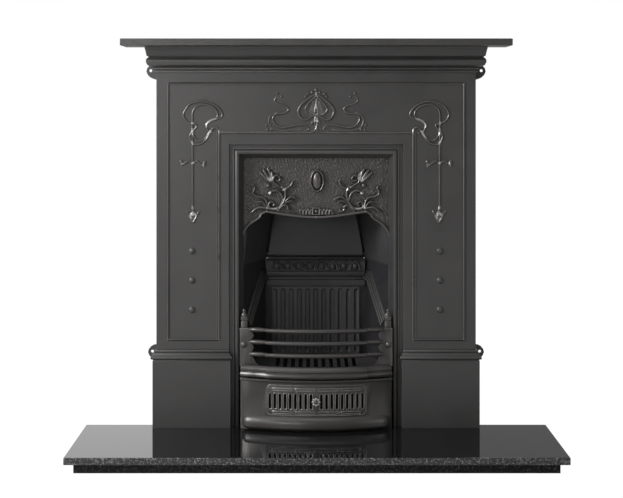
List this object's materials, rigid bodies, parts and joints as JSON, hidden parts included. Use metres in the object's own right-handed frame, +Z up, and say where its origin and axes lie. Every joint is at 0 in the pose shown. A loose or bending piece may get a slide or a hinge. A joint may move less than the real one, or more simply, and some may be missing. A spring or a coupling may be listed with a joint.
{
  "type": "cast iron fireplace",
  "caption": "Cast iron combination fireplace with whiplash relief, mantel shelf, open fire basket, damper and ashpit, on a boxed granite hearth.",
  "frame": {"origin": "centre of the bounding box, at its bottom, where the hearth rests on the floor", "axes": "+Z up, the front faces -Y, +X to the right of someone who looks at the front"},
  "size_m": [1.372, 0.617, 1.195],
  "materials": {
    "blacked_iron": "blacked and rubbed, satin, high spots brighter",
    "chamber_iron": "matt black casting",
    "bar_iron": "blacked and polished on the bars",
    "granite": "polished black granite",
    "sheet_steel": "black stoved sheet",
    "bolt_steel": "blackened bolts and rods"
  },
  "bodies": {
    "root": {"surround": "blacked_iron", "cornice": "blacked_iron", "mantel_shelf": "blacked_iron", "inner_frame": "blacked_iron", "hood_plate": "blacked_iron", "cheek_left": "chamber_iron", "cheek_right": "chamber_iron", "fireback": "chamber_iron", "fireback_cap": "chamber_iron", "smoke_box": "chamber_iron", "post_left": "bar_iron", "post_right": "bar_iron", "hearth_slab": "granite", "hearth_riser_front": "granite", "hearth_riser_left": "granite", "hearth_riser_right": "granite", "back_hearth": "granite", "cornice_bolt_left": "bolt_steel", "cornice_bolt_right": "bolt_steel", "shelf_bolt_left": "bolt_steel", "shelf_bolt_middle": "bolt_steel", "shelf_bolt_right": "bolt_steel", "frame_bolt_left_lower": "bolt_steel", "hood_bolt_left_lower": "bolt_steel", "cheek_bolt_left_lower": "bolt_steel", "frame_bolt_left_upper": "bolt_steel", "hood_bolt_left_upper": "bolt_steel", "cheek_bolt_left_upper": "bolt_steel", "frame_bolt_right_lower": "bolt_steel", "hood_bolt_right_lower": "bolt_steel", "cheek_bolt_right_lower": "bolt_steel", "frame_bolt_right_upper": "bolt_steel", "hood_bolt_right_upper": "bolt_steel", "cheek_bolt_right_upper": "bolt_steel", "damper_rod": "bolt_steel"},
    "cover": {"ashpit_cover": "blacked_iron"},
    "slide": {"air_slide": "sheet_steel", "air_knob": "bar_iron"},
    "pan": {"ash_pan": "sheet_steel", "ash_pan_handle": "bolt_steel"},
    "basket": {"basket_front": "bar_iron", "stud_left": "bar_iron", "stud_right": "bar_iron"},
    "flap": {"damper_flap": "chamber_iron"},
    "grate": {"bottom_grate": "chamber_iron"}
  },
  "joints": [
    {"name": "damper_hinge", "type": "hinge", "parent": "root", "child": "flap", "pos_m": [0, 0.2625, 0.5378], "axis": [1, 0, 0], "range_deg": [0, 50]},
    {"name": "cover_lift_away", "type": "slide", "parent": "root", "child": "cover", "axis": [0, -1, 0], "range_m": [0, 0.24]},
    {"name": "air_slide_turn", "type": "hinge", "parent": "cover", "child": "slide", "pos_m": [0, 0.54603, 0.1355], "axis": [0, 0, 1], "range_deg": [0, 0.77]},
    {"name": "ash_pan_draw", "type": "slide", "parent": "root", "child": "pan", "axis": [0, -1, 0], "range_m": [0, 0.18]},
    {"name": "basket_lift", "type": "slide", "parent": "root", "child": "basket", "axis": [0, 0, 1], "range_m": [0, 0.06]},
    {"name": "grate_lift", "type": "slide", "parent": "root", "child": "grate", "axis": [0, 0, 1], "range_m": [0, 0.08]}
  ],
  "couplings": [
    {"joint": "ash_pan_draw", "follows": "cover_lift_away", "ratio": 0.75}
  ]
}
